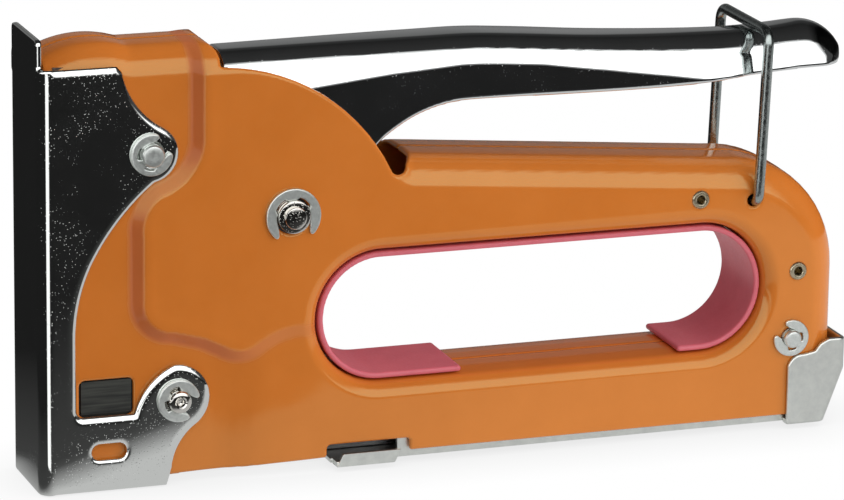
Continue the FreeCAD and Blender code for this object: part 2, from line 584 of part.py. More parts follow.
shell(-1, "left_shell")
shell(1, "right_shell")
nose_cover()
grip_liner()
headed_pin("pivot_pin", "pivot", "pivot_radius", "shell_half")
e_clip("pivot_clip", "pivot", "pivot_radius", "6.2", "shell_half", -95)
headed_pin("upper_nose_pin", "upper", "nose_pin_radius", "cover_half")
e_clip("upper_nose_clip", "upper", "nose_pin_radius", "4.6", "cover_half", -60)
headed_pin("lower_nose_pin", "lower", "nose_pin_radius", "cover_half")
e_clip("lower_nose_clip", "lower", "nose_pin_radius", "4.7", "cover_half", -40)
headed_pin("rear_pin", "rear", "rear_pin_radius", "shell_half")
e_clip("rear_clip", "rear", "rear_pin_radius", "4.2", "shell_half", 130)
hollow_rivet("top_rivet", "top_rivet")
hollow_rivet("back_rivet", "back_rivet")
spacer("top_rivet_spacer", "top_rivet", "ring_half - sheet_gauge")
spacer("back_rivet_spacer", "back_rivet", "ring_half - sheet_gauge")
lever()
lifter_arm()
lever_rivets()
pivot_bush()
return_spring()
hammer()
main_spring()
spring_top_seat()
bumper()
nose_insert()
wire_bail()
magazine_cover()
magazine_end_cap()
staple_rail()
guide_rod()
pusher()
follower_spring()

doc.recompute()
for item in doc.Objects:
    if {"Invalid", "Error"} & set(item.State):
        raise RuntimeError(f"{item.Name} ({item.Label}) did not recompute: {item.State}")
for item in pieces:
    if item.Shape.isNull() or not item.Shape.isValid():
        raise RuntimeError(f"{item.Label} has no valid shape")
    if any(solid.Volume <= 0 for solid in item.Shape.Solids) or not item.Shape.Solids:
        raise RuntimeError(f"{item.Label} is not solid")

os.makedirs("parts", exist_ok=True)
for item in pieces:
    item.Shape.exportStep(f"parts/{item.Label}.step")
print(f"{len(pieces)} sub-parts written")
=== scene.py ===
"""Looks of the staple gun: enamelled shells, chromed lever and nose, plated clips, studio.

Shapes are drawn in millimetres with X counted from the front of the nose, as in the CAD source, and
are moved to the row frame in metres when a mesh is made.
"""
import json
from math import atan2, cos, hypot, pi, radians, sin

import bpy
import numpy as np
from mathutils import Matrix, Vector


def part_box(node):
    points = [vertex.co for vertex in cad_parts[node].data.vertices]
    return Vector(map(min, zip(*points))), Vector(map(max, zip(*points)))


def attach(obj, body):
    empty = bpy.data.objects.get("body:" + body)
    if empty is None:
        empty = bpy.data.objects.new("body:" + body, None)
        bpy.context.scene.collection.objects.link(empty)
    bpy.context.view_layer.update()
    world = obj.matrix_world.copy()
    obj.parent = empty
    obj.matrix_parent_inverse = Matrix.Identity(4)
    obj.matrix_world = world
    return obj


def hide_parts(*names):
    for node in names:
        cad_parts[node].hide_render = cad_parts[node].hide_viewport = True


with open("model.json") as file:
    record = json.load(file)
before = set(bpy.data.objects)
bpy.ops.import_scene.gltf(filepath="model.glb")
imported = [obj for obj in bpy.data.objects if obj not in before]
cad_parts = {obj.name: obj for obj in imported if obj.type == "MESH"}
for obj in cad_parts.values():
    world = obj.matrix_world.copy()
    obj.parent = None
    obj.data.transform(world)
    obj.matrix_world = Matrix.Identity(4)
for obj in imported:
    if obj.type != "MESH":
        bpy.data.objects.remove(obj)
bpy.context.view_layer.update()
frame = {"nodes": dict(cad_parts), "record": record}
nodes = frame["nodes"]
NOSE_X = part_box("nose_cover")[0].x * 1000

# ------------------------------------------------------------------------------ outlines, mm
PIVOT, UPPER, LOWER, REAR = (56.5, 58.5), (24.8, 74.4), (30.8, 19.2), (174.3, 21.2)
TOP_RIVET, BACK_RIVET = (151.6, 54.9), (175.7, 36.6)
BAIL_FOOT, BAIL_BAR = (164.8, 53.8), (166.2, 92.35)
HOLE_FRONT, HOLE_REAR, HOLE_Z, HOLE_RADIUS, LINER_SHEET = 77.6, 153.0, 33.75, 13.15, 1.3
SHELL_HALF, NOSE_HALF, SHEET = 12.2, 10.5, 1.2
COVER_HALF, TAB_HALF, TOP = 12.2, 10.1, 100.4
LEVER_HALF, LEVER_SHEET, LEVER_REAR = 9.0, 1.4, 188.2
LINER_HALF, CAP_HALF, CAP_SHEET = 9.8, 13.4, 1.0
WIRE, BAIL_HALF, BAIL_INNER = 1.2, 13.75, 9.9
PIN_SEAT, PIN_END, PIVOT_END = 12.2, 14.4, 14.85
PIVOT_PIN, NOSE_PIN, REAR_PIN, RIVET, CLEARANCE = 4.0, 2.5, 2.0, 1.5, 0.05
NOSE_END, NOSE_EDGE, GRIP_EDGE, HOLE_EDGE = 60, 5.6, 6.2, 3.2
CLIP_MIDDLE, CLIP_HALF_GAUGE = 12.7, 0.4
PHOTO_WIDTH, FOCAL_PIXELS, SENSOR = 844, 5034.59, 36.0

SHELL = [(2.2, 1.2), (2.2, 95.6), (12.5, 98.4, 1), (21.5, 97.2), (36.4, 97.2), (39.3, 96.3, 1),
         (40.4, 94.2), (40.4, 92.2), (64.2, 84.2, 1), (79.0, 67.0), (80.8, 65.6, 1), (82.8, 67.4),
         (85.0, 69.3), (159.5, 63.0), (178.24, 55.24, 1), (186.0, 36.5), (186.0, 13.4), (182.2, 3.0),
         (64.0, 3.0)]
TAB_NOTCH = [(64.8, 0), (64.8, 5.2), (65.0, 5.6, 1), (65.4, 5.8), (83.3, 5.8), (83.7, 5.6, 1), (83.9, 5.2),
             (83.9, 0)]
NOSE_BODY = [(-30, -60), (-30, 95.6), (2.2, 95.6), (12.5, 98.4, 1), (21.5, 97.2), (110, 97.2), (110, -60)]
GRIP_BODY = [(20, -60), (20, 110), (74, 110), (81, 78), (85.0, 69.3), (159.5, 63.0), (178.24, 55.24, 1),
             (186.0, 36.5), (186.0, -60)]
NOSE_RECESS = [(-15, -15), (-15, 120), (35.2, 120), (35.2, 76.0), (32.0, 69.4, 1), (26.5, 66.2),
               (22.6, 61.8, 1), (21.7, 56.0), (21.7, 42.0), (23.6, 36.0, 1), (30.0, 33.0), (36.4, 31.2),
               (41.0, 28.9), (44.4, 27.7, 1), (48.0, 28.2), (51.4, 30.4), (54.6, 31.8, 1), (59.0, 32.4),
               (90.0, 32.4), (90.0, -15)]
CHEEK = [(-4, 0), (-4, 94.0), (17.4, 94.0), (18.7, 92.6), (21.4, 86.0, 1), (27.8, 80.0), (31.2, 74.4, 1),
         (25.8, 67.8), (18.6, 60.8, 1), (12.0, 51.0), (9.3, 43.6, 1), (8.2, 35.0), (8.2, 18.6),
         (8.7, 17.3, 1), (9.9, 16.9), (21.2, 16.9), (24.2, 22.8, 1), (30.2, 27.2), (38.2, 19.8, 1),
         (35.6, 13.6), (31.2, 9.0, 1), (29.6, 4.0), (28.4, 0)]
LEVER_CREST = [(40.0, 94.1), (50.0, 94.2), (70.0, 94.35), (88.0, 94.4), (100.0, 94.35), (112.0, 93.5),
               (127.0, 92.2), (140.0, 91.4), (152.0, 90.9), (162.0, 90.7), (171.0, 91.0), (178.0, 91.6)]
LEVER_RIM = [(165.0, 81.6), (154.0, 80.6), (140.0, 80.2), (122.0, 80.3), (104.0, 80.6), (94.0, 80.3),
             (86.0, 78.1), (79.0, 74.0), (75.4, 70.4)]
LEVER_END = [(184.2, 90.2, 1), (LEVER_REAR, 85.8)]
LEVER_BREAK = ([45, 60, 80, 96, 115, 130, 145, 155, 190], [10, 9, 7, 6, 6, 7, 8.5, 9.8, 11])
CAP_SIDE = [(-60, 60), (187.6, 60), (187.6, 13.2), (183.0, 1.0), (178.6, -11), (-60, -11)]
CAP_EAR = [(173.6, 1.0), (173.6, 14.6), (174.8, 16.5, 1), (177.4, 17.3), (180.2, 17.8), (181.4, 19.4),
           (183.4, 20.4), (200, 20.4), (200, 1.0)]
CAP_PLATE = [(181.6, 1.0), (186.2, 13.6), (186.2, 20.4), (200, 20.4), (200, 1.0)]


# ------------------------------------------------------------------------------ flat shapes
def through_arc(a, m, b, steps=14):
    """Points on the circle through a, m and b, from a to b."""
    (ax, az), (mx, mz), (bx, bz) = a[:2], m[:2], b[:2]
    turn = 2 * (ax * (mz - bz) + mx * (bz - az) + bx * (az - mz))
    sa, sm, sb = ax * ax + az * az, mx * mx + mz * mz, bx * bx + bz * bz
    cx = (sa * (mz - bz) + sm * (bz - az) + sb * (az - mz)) / turn
    cz = (sa * (bx - mx) + sm * (ax - bx) + sb * (mx - ax)) / turn
    radius = hypot(ax - cx, az - cz)
    start, middle, end = (atan2(z - cz, x - cx) for x, z in ((ax, az), (mx, mz), (bx, bz)))
    sweep = (end - start) % (2 * pi)
    if (middle - start) % (2 * pi) > sweep:
        sweep -= 2 * pi
    return [(cx + radius * cos(start + sweep * i / steps), cz + radius * sin(start + sweep * i / steps))
            for i in range(1, steps)]


def rounded(points):
    """An outline's corners; a point with a third entry is the middle of an arc."""
    made = []
    for i, point in enumerate(points):
        if len(point) == 3:
            made += through_arc(points[i - 1], point, points[(i + 1) % len(points)])
        else:
            made.append(point)
    return np.array(made, float)


def through_all(points, steps=6):
    """A smooth line through every point."""
    ends = [np.array(p, float) for p in [points[0], *points, points[-1]]]
    made = []
    for a, b, c, d in zip(ends, ends[1:], ends[2:], ends[3:]):
        for t in np.arange(steps) / steps:
            made.append(tuple(0.5 * (2 * b + (c - a) * t + (2 * a - 5 * b + 4 * c - d) * t * t
                                     + (3 * b - a - 3 * c + d) * t ** 3)))
    return made + [tuple(points[-1])]


def inside(points, x, z):
    """Distance to an outline over a grid of x and z, positive inside."""
    corners = rounded(points)
    best = np.full(np.broadcast(x, z).shape, 1e9)
    odd = np.zeros(best.shape, bool)
    for (ax, az), (bx, bz) in zip(corners, np.roll(corners, -1, axis=0)):
        ex, ez = bx - ax, bz - az
        length = ex * ex + ez * ez
        if length < 1e-12:
            continue
        t = np.clip(((x - ax) * ex + (z - az) * ez) / length, 0, 1)
        best = np.minimum(best, (x - ax - t * ex) ** 2 + (z - az - t * ez) ** 2)
        if abs(ez) > 1e-12:
            odd ^= ((az > z) != (bz > z)) & (x < (bx - ax) * (z - az) / ez + ax)
    return np.where(odd, 1, -1) * np.sqrt(best)


def from_hole_line(x, z):
    """Distance from the middle line of the hand hole."""
    return np.hypot(x - np.clip(x, HOLE_FRONT, HOLE_REAR), z - HOLE_Z)


def step(value, low, high):
    t = np.clip((value - low) / (high - low), 0, 1)
    return t * t * (3 - 2 * t)


def both(a, b, radius):
    """The overlap of two solids, with the edge between them rounded."""
    return np.hypot(np.maximum(a + radius, 0), np.maximum(b + radius, 0)) + np.minimum(
        np.maximum(a, b), -radius)


def either(a, b, radius):
    """The sum of two solids, with a fillet between them."""
    return -both(-a, -b, radius)


def round_bar(x, z, centre, radius):
    return np.hypot(x - centre[0], z - centre[1]) - radius


# ------------------------------------------------------------------------------ solids to meshes
def sample(field, where):
    """Values of a grid at fractional grid places."""
    limit = np.array(field.shape[:3]) - 1.000001
    where = np.clip(where, 0, limit)
    base = where.astype(int)
    t = where - base
    total = 0
    for i in (0, 1):
        for j in (0, 1):
            for k in (0, 1):
                weight = (t[:, 0] if i else 1 - t[:, 0]) * (t[:, 1] if j else 1 - t[:, 1]) * (
                    t[:, 2] if k else 1 - t[:, 2])
                value = field[base[:, 0] + i, base[:, 1] + j, base[:, 2] + k]
                total = total + (weight[:, None] * value if value.ndim > 1 else weight * value)
    return total


def net(field):
    """A closed mesh of four-sided faces where a field passes through zero, in grid units."""
    solid = field < 0
    cells = tuple(n - 1 for n in field.shape)
    rings, crossings, owners = [], [], []
    for axis in range(3):
        low, high = [slice(None)] * 3, [slice(None)] * 3
        low[axis], high[axis] = slice(0, -1), slice(1, None)
        at = np.argwhere(solid[tuple(low)] != solid[tuple(high)])
        u, v = [other for other in range(3) if other != axis]
        for other in (u, v):
            at = at[(at[:, other] > 0) & (at[:, other] < field.shape[other] - 1)]
        ahead = at.copy()
        ahead[:, axis] += 1
        here, there = field[tuple(at.T)], field[tuple(ahead.T)]
        crossing = at.astype(float)
        crossing[:, axis] += here / (here - there)
        ring = []
        for du, dv in ((0, 0), (1, 0), (1, 1), (0, 1)):
            cell = at.copy()
            cell[:, u] -= du
            cell[:, v] -= dv
            ring.append(np.ravel_multi_index(cell.T, cells))
            owners.append(ring[-1])
            crossings.append(crossing)
        ring = np.stack(ring, 1)
        backward = (here > 0) ^ (axis == 1)
        ring[backward] = ring[backward][:, ::-1]
        rings.append(ring)
    owners, crossings = np.concatenate(owners), np.concatenate(crossings)
    used, place = np.unique(owners, return_inverse=True)
    count = np.bincount(place)
    points = np.stack([np.bincount(place, crossings[:, a]) / count for a in range(3)], 1)
    faces = np.searchsorted(used, np.concatenate(rings))
    return points, faces


def mesh_of(points, faces, name, normals=None):
    data = bpy.data.meshes.new(name)
    data.from_pydata([tuple(p) for p in points], [], [tuple(f) for f in faces])
    data.validate()
    data.shade_smooth()
    if normals is not None and len(data.vertices) == len(normals):
        data.normals_split_custom_set_from_vertices([tuple(n) for n in normals])
    piece = bpy.data.objects.new(name, data)
    bpy.context.scene.collection.objects.link(piece)
    return piece


def moulded(name, solid, low, high, cell, mirror=False):
    """Mesh a solid given as a function of x, y, z in mm: negative inside, about the distance outside."""
    axes = [np.arange(a - 1.5 * cell, b + 2 * cell, cell) for a, b in zip(low, high)]
    x, y, z = np.meshgrid(*axes, indexing="ij", sparse=True)
    field = np.ascontiguousarray(np.broadcast_to(solid(x, y, z), [len(a) for a in axes]), dtype=float)
    points, faces = net(field)
    slope = np.stack(np.gradient(field), -1)
    start = points.copy()
    for _ in range(4):
        g = sample(slope, points)
        move = sample(field, points)[:, None] * g / np.maximum((g * g).sum(1, keepdims=True), 1e-4)
        points = np.clip(points - np.clip(move, -0.4, 0.4), start - 0.7, start + 0.7)
    g = sample(slope, points)
    normals = g / np.maximum(np.linalg.norm(g, axis=1, keepdims=True), 1e-9)
    points = points * cell + np.array([a[0] for a in axes])
    if mirror:
        points[:, 1] *= -1
        normals[:, 1] *= -1
        faces = faces[:, ::-1]
    points[:, 0] += NOSE_X
    return mesh_of(points / 1000, faces, name, normals)


def turned(name, centre, profile, steps=56):
    """A round piece along Y from (radius, y) pairs, from the axis at one end to the axis at the other."""
    points, faces = [], []
    for radius, y in profile:
        for i in range(steps):
            a = 2 * pi * i / steps
            points.append(((centre[0] + radius * cos(a) + NOSE_X) / 1000, y / 1000,
                           (centre[1] + radius * sin(a)) / 1000))
    rows = len(profile)
    for row in range(rows - 1):
        for i in range(steps):
            j = (i + 1) % steps
            faces.append((row * steps + i, row * steps + j, (row + 1) * steps + j, (row + 1) * steps + i))
    faces.append(tuple(range(steps))[::-1])
    faces.append(tuple((rows - 1) * steps + i for i in range(steps)))
    piece = mesh_of(points, faces, name)
    piece.data.set_sharp_from_angle(angle=radians(28))
    return piece


def swept(name, path, radius, steps=24):
    """A round wire along points in mm."""
    path = np.array(path, float)
    tangents = np.gradient(path, axis=0)
    tangents /= np.linalg.norm(tangents, axis=1, keepdims=True)
    side = np.array([1.0, 0, 0])
    points, faces = [], []
    for p, t in zip(path, tangents):
        side = side - t * (side @ t)
        side /= np.linalg.norm(side)
        other = np.cross(t, side)
        for i in range(steps):
            a = 2 * pi * i / steps
            q = p + radius * (cos(a) * side + sin(a) * other)
            points.append(((q[0] + NOSE_X) / 1000, q[1] / 1000, q[2] / 1000))
    for row in range(len(path) - 1):
        for i in range(steps):
            j = (i + 1) % steps
            faces.append((row * steps + i, row * steps + j, (row + 1) * steps + j, (row + 1) * steps + i))
    faces.append(tuple(range(steps))[::-1])
    faces.append(tuple((len(path) - 1) * steps + i for i in range(steps)))
    piece = mesh_of(points, faces, name)
    piece.data.set_sharp_from_angle(angle=radians(50))
    return piece


# ------------------------------------------------------------------------------ materials
def new_material(name, **sockets):
    material = bpy.data.materials.new(name)
    material.use_nodes = True
    shader = material.node_tree.nodes["Principled BSDF"]
    for key, value in sockets.items():
        shader.inputs[key.replace("_", " ")].default_value = value
    return material, material.node_tree.nodes, material.node_tree.links, shader


def noise(tree_nodes, links, scale, detail=3.0, roughness=0.5, kind="ShaderNodeTexNoise"):
    place = tree_nodes.get("Texture Coordinate") or tree_nodes.new("ShaderNodeTexCoord")
    texture = tree_nodes.new(kind)
    texture.inputs["Scale"].default_value = scale
    if kind == "ShaderNodeTexNoise":
        texture.inputs["Detail"].default_value = detail
        texture.inputs["Roughness"].default_value = roughness
    links.new(place.outputs["Object"], texture.inputs["Vector"])
    return texture


def maths(tree_nodes, links, kind, a, b=0.0):
    node = tree_nodes.new("ShaderNodeMath")
    node.operation = kind
    for socket, value in zip(node.inputs, (a, b)):
        if isinstance(value, (int, float)):
            socket.default_value = value
        else:
            links.new(value, socket)
    return node.outputs[0]


def ramp(tree_nodes, links, source, stops):
    node = tree_nodes.new("ShaderNodeValToRGB")
    band = node.color_ramp
    while len(band.elements) < len(stops):
        band.elements.new(0.5)
    for element, (at, colour) in zip(band.elements, stops):
        element.position = at
        element.color = (*(colour if hasattr(colour, "__len__") else (colour,) * 3), 1)
    links.new(source, node.inputs[0])
    return node


def bump(tree_nodes, links, shader, height, distance, strength, before=None):
    node = tree_nodes.new("ShaderNodeBump")
    node.inputs["Distance"].default_value = distance
    node.inputs["Strength"].default_value = strength
    links.new(height, node.inputs["Height"])
    if before:
        links.new(before.outputs["Normal"], node.inputs["Normal"])
    links.new(node.outputs["Normal"], shader.inputs["Normal"])
    return node


def enamel():
    m, n, l, s = new_material("orange_enamel", Coat_Weight=0.35, Coat_Roughness=0.08, Coat_IOR=1.5,
                              Specular_IOR_Level=0.8)
    s.inputs["Specular Tint"].default_value = (0.60, 1.0, 0.45, 1)
    cloud = noise(n, l, 55, 4, 0.6)
    tone = ramp(n, l, cloud.outputs["Fac"], [(0.3, (0.66, 0.182, 0.025)), (0.7, (0.71, 0.202, 0.031))])
    # Painted shade along the foot of the pressed step: the stored attribute darkens the base colour there
    # and adds roughness.
    step_shade = n.new("ShaderNodeAttribute")
    step_shade.attribute_name = "step_shade"
    shade = ramp(n, l, step_shade.outputs["Fac"], [(0.0, (1.0, 1.0, 1.0)), (1.0, (0.93, 0.72, 1.2))])
    darken = n.new("ShaderNodeVectorMath")
    darken.operation = "MULTIPLY"
    l.new(tone.outputs["Color"], darken.inputs[0])
    l.new(shade.outputs["Color"], darken.inputs[1])
    l.new(darken.outputs["Vector"], s.inputs["Base Color"])
    fine = noise(n, l, 620, 3, 0.5)
    rough = ramp(n, l, fine.outputs["Fac"], [(0.3, 0.10), (0.7, 0.16)])
    dull = maths(n, l, "MULTIPLY", step_shade.outputs["Fac"], 0.5)
    l.new(maths(n, l, "ADD", rough.outputs["Color"], dull), s.inputs["Roughness"])
    bump(n, l, s, fine.outputs["Fac"], 0.00003, 0.25)
    return m


def chrome(name, pit_strength, tint, often=0.6):
    """Bright plating, almost a mirror, with a few tiny pits."""
    m, n, l, s = new_material(name, Metallic=1.0)
    s.inputs["Base Color"].default_value = (*tint, 1)
    cells = noise(n, l, 2900, kind="ShaderNodeTexVoronoi")
    dot = ramp(n, l, cells.outputs["Distance"], [(0.0, 1.0), (0.36, 0.0)])
    some = ramp(n, l, cells.outputs["Color"], [(often, 0.0), (min(often + 0.12, 1.0), 1.0)])
    patch = noise(n, l, 110, 3, 0.6)
    where = ramp(n, l, patch.outputs["Fac"], [(0.32, 0.0), (0.6, 1.0)])
    pits = maths(n, l, "MULTIPLY", maths(n, l, "MULTIPLY", dot.outputs["Color"], some.outputs["Color"]),
                 where.outputs["Color"])
    wave = noise(n, l, 45, 1, 0.4)
    first = bump(n, l, s, wave.outputs["Fac"], 0.0001, 0.12)
    bump(n, l, s, pits, 0.00008, pit_strength, first)
    rough = ramp(n, l, patch.outputs["Fac"], [(0.3, 0.03), (0.7, 0.07)])
    l.new(rough.outputs["Color"], s.inputs["Roughness"])
    return m


def plated(name, dark, light, low, high, scale=900, strength=0.25):
    """Satin metal with a fine grain."""
    m, n, l, s = new_material(name, Metallic=1.0)
    grain = noise(n, l, scale, 4, 0.6)
    tone = ramp(n, l, grain.outputs["Fac"], [(0.3, dark), (0.7, light)])
    l.new(tone.outputs["Color"], s.inputs["Base Color"])
    rough = ramp(n, l, grain.outputs["Fac"], [(0.3, low), (0.7, high)])
    l.new(rough.outputs["Color"], s.inputs["Roughness"])
    bump(n, l, s, grain.outputs["Fac"], 0.00004, strength)
    return m


def pink_plastic():
    m, n, l, s = new_material("pink_plastic", Subsurface_Weight=0.08, Subsurface_Scale=0.002,
                              Specular_IOR_Level=0.45)
    s.inputs["Subsurface Radius"].default_value = (1.0, 0.3, 0.3)
    cloud = noise(n, l, 120, 4, 0.6)
    tone = ramp(n, l, cloud.outputs["Fac"], [(0.3, (0.66, 0.135, 0.175)), (0.7, (0.73, 0.165, 0.205))])
    l.new(tone.outputs["Color"], s.inputs["Base Color"])
    grain = noise(n, l, 1900, 3, 0.6)
    rough = ramp(n, l, grain.outputs["Fac"], [(0.3, 0.34), (0.7, 0.5)])
    l.new(rough.outputs["Color"], s.inputs["Roughness"])
    bump(n, l, s, grain.outputs["Fac"], 0.00005, 0.35)
    return m


def rubber():
    m, n, l, s = new_material("black_rubber", Specular_IOR_Level=0.4)
    grain = noise(n, l, 1500, 3, 0.6)
    stretch = n.new("ShaderNodeMapping")
    stretch.inputs["Scale"].default_value = (0.05, 0.05, 1.0)
    l.new(n["Texture Coordinate"].outputs["Object"], stretch.inputs["Vector"])
    l.new(stretch.outputs["Vector"], grain.inputs["Vector"])
    tone = ramp(n, l, grain.outputs["Fac"], [(0.35, (0.010, 0.011, 0.010)), (0.65, (0.045, 0.047, 0.040))])
    l.new(tone.outputs["Color"], s.inputs["Base Color"])
    rough = ramp(n, l, grain.outputs["Fac"], [(0.3, 0.55), (0.7, 0.75)])
    l.new(rough.outputs["Color"], s.inputs["Roughness"])
    bump(n, l, s, grain.outputs["Fac"], 0.00006, 0.5)
    return m


MATERIALS = {
    "orange_enamel": enamel(),
    "chrome_plate": chrome("chrome_plate", 0.4, (0.86, 0.88, 0.86), 0.7),
    "zinc_plate": plated("zinc_plate", (0.70, 0.72, 0.69), (0.78, 0.80, 0.76), 0.30, 0.42, 700, 0.12),
    "spring_steel": plated("spring_steel", (0.32, 0.36, 0.35), (0.46, 0.50, 0.49), 0.16, 0.3, 1300, 0.08),
    "dark_steel": plated("dark_steel", (0.13, 0.13, 0.13), (0.20, 0.20, 0.21), 0.3, 0.5, 700),
    "black_rubber": rubber(),
    "pink_plastic": pink_plastic(),
}
LEVER_CHROME = chrome("lever_chrome", 0.25, (0.88, 0.90, 0.90), 0.76)
PIN_STEEL = chrome("pin_steel", 0.4, (0.72, 0.70, 0.66))
CLIP_ZINC = plated("clip_zinc", (0.74, 0.78, 0.75), (0.86, 0.89, 0.86), 0.34, 0.46, 1600, 0.15)
RIVET_ZINC = plated("rivet_zinc", (0.48, 0.41, 0.28), (0.62, 0.55, 0.40), 0.22, 0.34, 1300, 0.15)


def dress(piece, body, slot, *replaced, material=None):
    piece.data.materials.clear()
    piece.data.materials.append(material or MATERIALS[slot])
    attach(piece, body)
    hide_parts(*replaced)
    return piece


# ------------------------------------------------------------------------------ shells
def step_fade(x, z):
    """How deep the pressed step behind the nose is: it dies away towards the hand hole."""
    fade = 1 - step(46.0 - z, 0, 14) * (0.72 * step(x, 38.0, 52.0) + 0.28 * step(x, 52.0, 68.0))
    return fade * (1 - step(x, 40.0, 60.0) * step(26.0 - z, 0, 12))


def mark_step_shade(piece):
    """Store how near each point is to the foot of the step, as painted shade: there the enamel is given a
    darker base colour and a duller gloss.
    """
    spots = np.array([v.co for v in piece.data.vertices]) * 1000
    x, z = spots[:, 0] - NOSE_X, spots[:, 2]
    recess = inside(NOSE_RECESS, x, z)
    step_shade = step(recess, -1.7, -1.1) * (1 - step(recess, 1.0, 2.2)) * np.sqrt(step_fade(x, z))
    step_shade = step_shade * (1 - 0.6 * step(z, 58.0, 63.0) * (1 - step(z, 69.0, 74.0)) * (1 - step(x, 36.0, 38.0)))
    piece.data.attributes.new("step_shade", "FLOAT", "POINT").data.foreach_set("value", step_shade)


def shell_solid(x, y, z):
    """One pressed half, on the positive side of Y."""
    recess = inside(NOSE_RECESS, x, z)
    width = SHELL_HALF - (SHELL_HALF - NOSE_HALF) * np.clip((recess + 1.4) / 2.4, 0, 1) * step_fade(x, z)
    width = width + 0.10 * np.exp(-((recess + 3.0) / 1.2) ** 2) * (1 - step(x, 50, 66))
    depth = np.where(x < NOSE_END, inside(NOSE_BODY, x, z), inside(GRIP_BODY, x, z))
    depth = depth - np.where(x < NOSE_END, 0.010, 0.006) * y * y
    body = both(-depth, y - width, np.where(x < NOSE_END, NOSE_EDGE, GRIP_EDGE))
    rim = HOLE_RADIUS + LINER_SHEET + 0.12 - from_hole_line(x, z)
    body = both(body, rim + 0.10 * np.maximum(y - 5.0, 0), HOLE_EDGE)
    cavity = -(body + SHEET)
    beyond = -inside(SHELL, x, z)
    made = np.maximum(both(body, beyond, 0.22), cavity)
    made = np.maximum(made, both(beyond, y - width - 0.3, 0.4))
    made = both(made, 0.05 - y, 0.34)
    cuts = [round_bar(x, z, centre, radius + CLEARANCE) for centre, radius in (
        (PIVOT, PIVOT_PIN), (UPPER, NOSE_PIN), (LOWER, NOSE_PIN), (REAR, REAR_PIN), (TOP_RIVET, RIVET),
        (BACK_RIVET, RIVET))]
    foot_hole = np.hypot((x - BAIL_FOOT[0] + 0.3) / 1.1, z - BAIL_FOOT[1]) - 1.4
    window = both(np.abs(x - 15.1) - 6.0, np.abs(z - 20.6) - 4.1, 1.2)
    for cut in cuts + [foot_hole, window, -inside(TAB_NOTCH, x, z)]:
        made = both(made, -np.maximum(cut, 8.0 - y), 0.2)
    return made


for side, label in ((-1, "left_shell"), (1, "right_shell")):
    half = moulded("shell_" + ("left" if side < 0 else "right"), shell_solid, (1.6, 0, 0.8),
                   (186.4, 12.5, 98.8), 0.5, mirror=side < 0)
    mark_step_shade(half)
    dress(half, "housing", "orange_enamel", label)


# ------------------------------------------------------------------------------ nose cover
def nose_solid(x, y, z):
    wide = np.abs(y)
    bend = 3.0
    edge = inside(CHEEK, x, z)
    outer = both(0.14 - x, wide - COVER_HALF, bend)
    inner = both(1.35 - x, wide - 11.0, bend - 1.2)
    sheet = np.maximum(outer, -inner)
    roll = 0.62 * np.clip(1 - edge / 2.2, 0, 1) ** 2 * step(x, 2.0, 4.0)
    sheet = both(sheet, wide - COVER_HALF + roll, 0.3)
    cheek = both(sheet, -edge, 0.36)
    tab = both(both(wide - TAB_HALF, z - 100.2, 1.2), np.abs(x - 0.82) - 0.68, 0.3)
    tab = np.maximum(tab, 90 - z)
    made = either(cheek, tab, 0.5)
    slot = np.hypot(x - np.clip(x, 13.3, 17.5), z - 8.9)
    made = both(made, 1.6 - slot, 1.0)
    for centre in (UPPER, LOWER):
        made = both(made, -round_bar(x, z, centre, NOSE_PIN + CLEARANCE), 0.3)
    return np.maximum(made, z - TOP)


nose = moulded("nose_plate", nose_solid, (0, -COVER_HALF, 0), (38.5, COVER_HALF, TOP), 0.36)
dress(nose, "housing", "chrome_plate", "nose_cover")


# ------------------------------------------------------------------------------ lever
def lever_solid(x, y, z):
    wide = np.abs(y)
    crest = through_all(LEVER_CREST)
    top = inside([(-20, 94.1), *crest, *LEVER_END, (LEVER_REAR, -60), (-20, -60)], x, z)
    crown = inside([(-20, 94.1), *crest, (240, 94), (240, -60), (-20, -60)], x, z)
    outline = inside([(42.3, 88.0), (42.3, 110), (200, 110), (200, 85.0), (LEVER_REAR, 85.0),
                      (187.2, 83.2, 1), (184.8, 82.5), (176.0, 82.3), *through_all(LEVER_RIM),
                      (68.0, 58.5), (56.5, 47.5, 1), (45.5, 58.5)], x, z)
    above = np.interp(x, *LEVER_BREAK) - crown
    half = LEVER_HALF - 0.115 * (above + np.sqrt(above * above + 0.25))
    radius = 4.2 + 0.8 * step(x, 120.0, 160.0) + 1.9 * step(x, 172.0, 187.0)
    body = both(-top, wide - half, radius)
    body = body + 0.006 * wide * wide * (1 - step(top, 0.5, 5.0))
    wall = np.maximum(both(body, -outline, 0.3), -(body + LEVER_SHEET))
    for x0, z0 in ((52.0, 72.4), (62.5, 71.0)):
        wall = np.maximum(wall, -round_bar(x, z, (x0, z0), 1.85))
    return np.maximum(wall, np.where(z < 76, -round_bar(x, z, PIVOT, 5.55), -9))


channel = moulded("lever_channel", lever_solid, (42.0, -LEVER_HALF, 47.4), (188.6, LEVER_HALF, 94.5), 0.45)
dress(channel, "lever", "chrome_plate", "lever", material=LEVER_CHROME)


# ------------------------------------------------------------------------------ liner
def liner_solid(x, y, z):
    wide = np.abs(y)
    ring = np.abs(from_hole_line(x, z) - HOLE_RADIUS - LINER_SHEET / 2) - LINER_SHEET / 2
    strip = both(ring, wide - LINER_HALF, 0.45)
    gap = np.maximum(np.maximum(96.5 - x, x - 148.0), z - HOLE_Z)
    return both(strip, -gap, 0.35)


liner = moulded("hand_liner", liner_solid, (63.0, -LINER_HALF, 19.1), (167.6, LINER_HALF, 48.4), 0.42)
dress(liner, "housing", "pink_plastic", "grip_liner")


